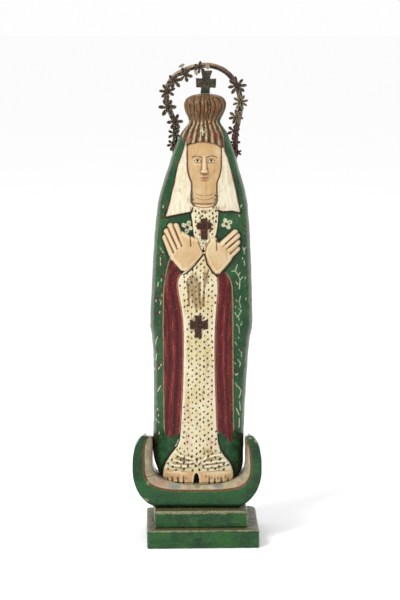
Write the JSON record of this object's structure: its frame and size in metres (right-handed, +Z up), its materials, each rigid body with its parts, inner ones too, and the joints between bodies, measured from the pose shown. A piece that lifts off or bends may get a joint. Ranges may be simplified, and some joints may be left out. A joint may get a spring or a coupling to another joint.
{
  "type": "carved madonna statue",
  "caption": "Carved and painted wooden madonna with crossed hands and a crown, on a crescent moon and a stepped plinth, with a hoop of tin flowers behind the head.",
  "frame": {"origin": "middle of the plinth's flat underside", "axes": "+Z up along the figure's height, the figure faces -Y, +X to its viewer's right"},
  "size_m": [0.1936, 0.158, 0.7186],
  "materials": {
    "figure_paint": "aged oil paint on carved wood: green mantle, red lining, cream robe with brown dots, flesh tones, brown crown",
    "moon_paint": "aged green paint on carved wood, grey hollow, red-brown edge line",
    "plinth_paint": "aged green paint on wood blocks, worn grey edges",
    "cross_paint": "dark olive-brown paint on a flat wooden cross",
    "rusty_rod": "dark brown rusted rod",
    "aged_tin": "cut tin gone dark brown, with tan worn edges",
    "pale_tin": "pale worn tin leaf"
  },
  "bodies": {
    "root": {"figure": "figure_paint", "crown_cross": "cross_paint", "crescent_moon": "moon_paint", "plinth_step": "plinth_paint", "plinth_base": "plinth_paint", "halo_hoop": "rusty_rod", "halo_flower_01": "aged_tin", "halo_flower_02": "aged_tin", "halo_flower_03": "aged_tin", "halo_flower_04": "aged_tin", "halo_flower_05": "aged_tin", "halo_flower_06": "aged_tin", "halo_flower_07": "aged_tin", "halo_flower_08": "aged_tin", "halo_flower_09": "aged_tin", "halo_flower_10": "aged_tin", "halo_flower_11": "aged_tin", "halo_flower_12": "aged_tin", "halo_flower_13": "aged_tin", "halo_flower_14": "aged_tin", "halo_leaf_01": "pale_tin", "halo_leaf_02": "pale_tin", "halo_leaf_03": "pale_tin", "halo_leaf_04": "pale_tin"}
  },
  "joints": []
}
